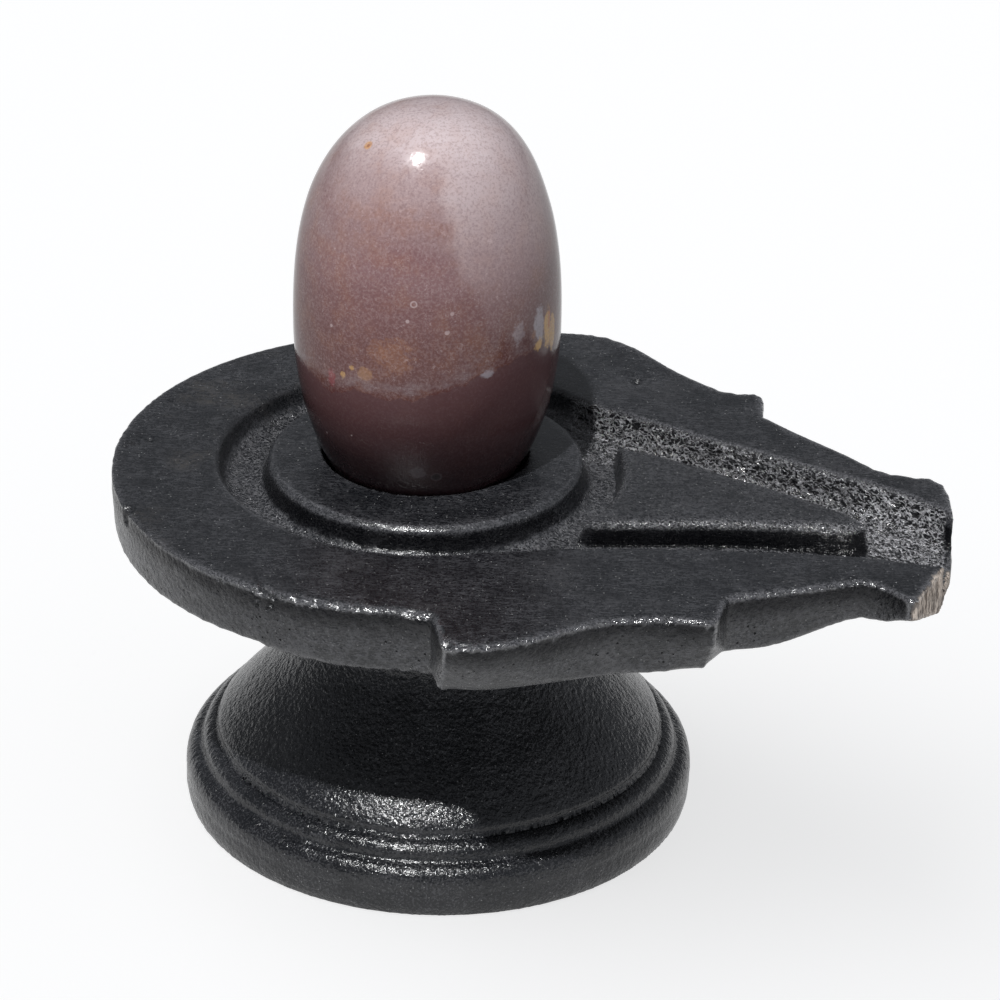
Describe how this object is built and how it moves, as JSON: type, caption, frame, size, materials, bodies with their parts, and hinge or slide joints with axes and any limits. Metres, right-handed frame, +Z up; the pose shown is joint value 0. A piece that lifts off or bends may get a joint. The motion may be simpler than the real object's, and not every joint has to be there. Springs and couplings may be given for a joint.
{
  "type": "shiva lingam stone",
  "caption": "Tall egg-shaped polished river stone standing in the round socket of a carved black stone base with a ring groove, a water spout and a waisted round foot.",
  "frame": {"origin": "centre of the round foot's flat underside", "axes": "+X along the water spout, +Z up out of the foot, +Y to the left seen from behind the stone towards the spout"},
  "size_m": [0.2684, 0.2192, 0.2374],
  "materials": {
    "river_stone": "polished, mauve grey above and dark plum below",
    "black_stone": "oiled black, satin, tool-marked"
  },
  "bodies": {
    "root": {"lingam_stone": "river_stone", "yoni_base": "black_stone"}
  },
  "joints": []
}
